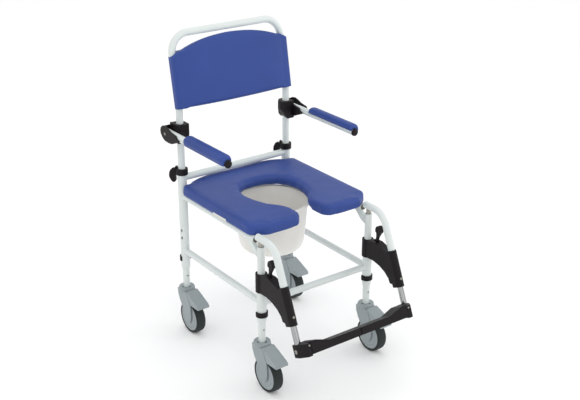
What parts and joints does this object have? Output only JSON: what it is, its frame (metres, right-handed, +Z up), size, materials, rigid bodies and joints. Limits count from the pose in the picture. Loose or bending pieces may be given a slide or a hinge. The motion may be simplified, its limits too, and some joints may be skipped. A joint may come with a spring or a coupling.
{
  "type": "wheeled commode chair",
  "caption": "Tube frame commode chair with padded seat opening, slide-out pan, lift-off back, flip-up arms, swing-away footrests and braked casters.",
  "frame": {"origin": "centre of the whole chair in plan, on the floor", "axes": "+Z up, the chair faces -Y, +X towards the sitter's left"},
  "size_m": [0.5792, 0.814, 1.1395],
  "materials": {
    "white_powder_coat": "satin powder coat",
    "blue_vinyl": "soft padded vinyl",
    "black_plastic": "fine grain",
    "grey_plastic": "fine grain",
    "tyre_rubber": "smooth tread",
    "chrome": "polished",
    "pan_plastic": "smooth",
    "white_plastic": "smooth"
  },
  "bodies": {
    "frame": {"rear_leg_left": "white_powder_coat", "rear_leg_right": "white_powder_coat", "front_leg_left": "white_powder_coat", "front_leg_right": "white_powder_coat", "side_rail_left": "white_powder_coat", "side_rail_right": "white_powder_coat", "seat_rail_left": "white_powder_coat", "seat_rail_right": "white_powder_coat", "front_crossbar": "white_powder_coat", "rear_crossbar": "white_powder_coat", "front_height_clip_left": "black_plastic", "front_height_clip_right": "black_plastic", "rear_height_clip_left": "black_plastic", "rear_height_clip_right": "black_plastic", "back_collar_left": "black_plastic", "back_collar_right": "black_plastic", "seat_base": "white_plastic", "seat_cushion": "blue_vinyl"},
    "pan": {"commode_pan": "pan_plastic"},
    "back": {"back_frame": "white_powder_coat", "back_upholstery": "blue_vinyl", "arm_bracket_left": "black_plastic", "arm_bracket_right": "black_plastic"},
    "back_lever_left": {"back_lever_left": "black_plastic"},
    "back_lever_right": {"back_lever_right": "black_plastic"},
    "arm_left": {"arm_tube_left": "white_powder_coat", "arm_pad_left": "blue_vinyl"},
    "arm_right": {"arm_tube_right": "white_powder_coat", "arm_pad_right": "blue_vinyl"},
    "hanger_left": {"hanger_tube_left": "white_powder_coat", "hanger_bracket_left": "black_plastic"},
    "hanger_right": {"hanger_tube_right": "white_powder_coat", "hanger_bracket_right": "black_plastic"},
    "latch_left": {"latch_lever_left": "black_plastic"},
    "latch_right": {"latch_lever_right": "black_plastic"},
    "footrest_left": {"footrest_tube_left": "chrome"},
    "footrest_right": {"footrest_tube_right": "chrome"},
    "footplate_left": {"footplate_left": "black_plastic"},
    "footplate_right": {"footplate_right": "black_plastic"},
    "leg_extension_front_left": {"leg_extension_front_left": "white_powder_coat"},
    "leg_extension_front_right": {"leg_extension_front_right": "white_powder_coat"},
    "leg_extension_rear_left": {"leg_extension_rear_left": "white_powder_coat"},
    "leg_extension_rear_right": {"leg_extension_rear_right": "white_powder_coat"},
    "pedal_front_left": {"brake_pedal_front_left": "grey_plastic"},
    "pedal_front_right": {"brake_pedal_front_right": "grey_plastic"},
    "pedal_rear_left": {"brake_pedal_rear_left": "grey_plastic"},
    "pedal_rear_right": {"brake_pedal_rear_right": "grey_plastic"},
    "caster_front_left": {"caster_fork_front_left": "grey_plastic"},
    "caster_front_right": {"caster_fork_front_right": "grey_plastic"},
    "caster_rear_left": {"caster_fork_rear_left": "grey_plastic"},
    "caster_rear_right": {"caster_fork_rear_right": "grey_plastic"},
    "wheel_front_left": {"wheel_hub_front_left": "grey_plastic", "tyre_front_left": "tyre_rubber"},
    "wheel_front_right": {"wheel_hub_front_right": "grey_plastic", "tyre_front_right": "tyre_rubber"},
    "wheel_rear_left": {"wheel_hub_rear_left": "grey_plastic", "tyre_rear_left": "tyre_rubber"},
    "wheel_rear_right": {"wheel_hub_rear_right": "grey_plastic", "tyre_rear_right": "tyre_rubber"}
  },
  "joints": [
    {"name": "pan_slide", "type": "slide", "parent": "frame", "child": "pan", "axis": [0, 1, 0], "range_m": [0, 0.3]},
    {"name": "back_lift", "type": "slide", "parent": "frame", "child": "back", "axis": [0, 0, 1], "range_m": [0, 0.09]},
    {"name": "back_lever_left", "type": "hinge", "parent": "frame", "child": "back_lever_left", "pos_m": [0.20879, 0.37392, 0.64], "axis": [0.766, 0.6428, 0], "range_deg": [0, 90]},
    {"name": "back_lever_right", "type": "hinge", "parent": "frame", "child": "back_lever_right", "pos_m": [-0.25121, 0.37392, 0.64], "axis": [0.766, 0.6428, 0], "range_deg": [0, 90]},
    {"name": "arm_left", "type": "hinge", "parent": "back", "child": "arm_left", "pos_m": [0.266, 0.36164, 0.787], "axis": [-1, 0, 0], "range_deg": [0, 95]},
    {"name": "arm_right", "type": "hinge", "parent": "back", "child": "arm_right", "pos_m": [-0.266, 0.36164, 0.787], "axis": [-1, 0, 0], "range_deg": [0, 95]},
    {"name": "hanger_left", "type": "hinge", "parent": "frame", "child": "hanger_left", "pos_m": [0.23, -0.14935, 0.45], "axis": [0, 0, 1], "range_deg": [0, 90]},
    {"name": "hanger_right", "type": "hinge", "parent": "frame", "child": "hanger_right", "pos_m": [-0.23, -0.14935, 0.45], "axis": [0, 0, -1], "range_deg": [0, 90]},
    {"name": "latch_left", "type": "hinge", "parent": "hanger_left", "child": "latch_left", "pos_m": [0.23, -0.19385, 0.432], "axis": [-1, 0, 0], "range_deg": [0, 12], "stiffness_Nm_per_rad": 0.4},
    {"name": "latch_right", "type": "hinge", "parent": "hanger_right", "child": "latch_right", "pos_m": [-0.23, -0.19385, 0.432], "axis": [-1, 0, 0], "range_deg": [0, 12], "stiffness_Nm_per_rad": 0.4},
    {"name": "footrest_height_left", "type": "slide", "parent": "hanger_left", "child": "footrest_left", "axis": [0, -0.3907, -0.9205], "range_m": [-0.03, 0.06]},
    {"name": "footrest_height_right", "type": "slide", "parent": "hanger_right", "child": "footrest_right", "axis": [0, -0.3907, -0.9205], "range_m": [-0.03, 0.06]},
    {"name": "footplate_left", "type": "hinge", "parent": "footrest_left", "child": "footplate_left", "pos_m": [0.2063, -0.38936, 0.279], "axis": [0, 0.8776, -0.4794], "range_deg": [0, 85]},
    {"name": "footplate_right", "type": "hinge", "parent": "footrest_right", "child": "footplate_right", "pos_m": [-0.2063, -0.38936, 0.279], "axis": [0, -0.8776, 0.4794], "range_deg": [0, 85]},
    {"name": "leg_height_front_left", "type": "slide", "parent": "frame", "child": "leg_extension_front_left", "axis": [0, 0, 1], "range_m": [0, 0.025]},
    {"name": "leg_height_front_right", "type": "slide", "parent": "frame", "child": "leg_extension_front_right", "axis": [0, 0, 1], "range_m": [0, 0.025]},
    {"name": "leg_height_rear_left", "type": "slide", "parent": "frame", "child": "leg_extension_rear_left", "axis": [0, 0, 1], "range_m": [0, 0.025]},
    {"name": "leg_height_rear_right", "type": "slide", "parent": "frame", "child": "leg_extension_rear_right", "axis": [0, 0, 1], "range_m": [0, 0.025]},
    {"name": "brake_front_left", "type": "hinge", "parent": "caster_front_left", "child": "pedal_front_left", "pos_m": [0.23, -0.20136, 0.13], "axis": [1, 0, 0], "range_deg": [0, 6]},
    {"name": "brake_front_right", "type": "hinge", "parent": "caster_front_right", "child": "pedal_front_right", "pos_m": [-0.23, -0.20136, 0.13], "axis": [1, 0, 0], "range_deg": [0, 6]},
    {"name": "brake_rear_left", "type": "hinge", "parent": "caster_rear_left", "child": "pedal_rear_left", "pos_m": [0.23, 0.29664, 0.13], "axis": [1, 0, 0], "range_deg": [0, 6]},
    {"name": "brake_rear_right", "type": "hinge", "parent": "caster_rear_right", "child": "pedal_rear_right", "pos_m": [-0.23, 0.29664, 0.13], "axis": [1, 0, 0], "range_deg": [0, 6]},
    {"name": "swivel_front_left", "type": "hinge", "parent": "leg_extension_front_left", "child": "caster_front_left", "pos_m": [0.23, -0.14935, 0.17], "axis": [0, 0, 1], "continuous": true},
    {"name": "swivel_front_right", "type": "hinge", "parent": "leg_extension_front_right", "child": "caster_front_right", "pos_m": [-0.23, -0.14935, 0.17], "axis": [0, 0, 1], "continuous": true},
    {"name": "swivel_rear_left", "type": "hinge", "parent": "leg_extension_rear_left", "child": "caster_rear_left", "pos_m": [0.23, 0.34864, 0.17], "axis": [0, 0, 1], "continuous": true},
    {"name": "swivel_rear_right", "type": "hinge", "parent": "leg_extension_rear_right", "child": "caster_rear_right", "pos_m": [-0.23, 0.34864, 0.17], "axis": [0, 0, 1], "continuous": true},
    {"name": "wheel_front_left", "type": "hinge", "parent": "caster_front_left", "child": "wheel_front_left", "pos_m": [0.23, -0.18735, 0.0625], "axis": [1, 0, 0], "continuous": true},
    {"name": "wheel_front_right", "type": "hinge", "parent": "caster_front_right", "child": "wheel_front_right", "pos_m": [-0.23, -0.18735, 0.0625], "axis": [1, 0, 0], "continuous": true},
    {"name": "wheel_rear_left", "type": "hinge", "parent": "caster_rear_left", "child": "wheel_rear_left", "pos_m": [0.23, 0.31065, 0.0625], "axis": [1, 0, 0], "continuous": true},
    {"name": "wheel_rear_right", "type": "hinge", "parent": "caster_rear_right", "child": "wheel_rear_right", "pos_m": [-0.23, 0.31065, 0.0625], "axis": [1, 0, 0], "continuous": true}
  ]
}
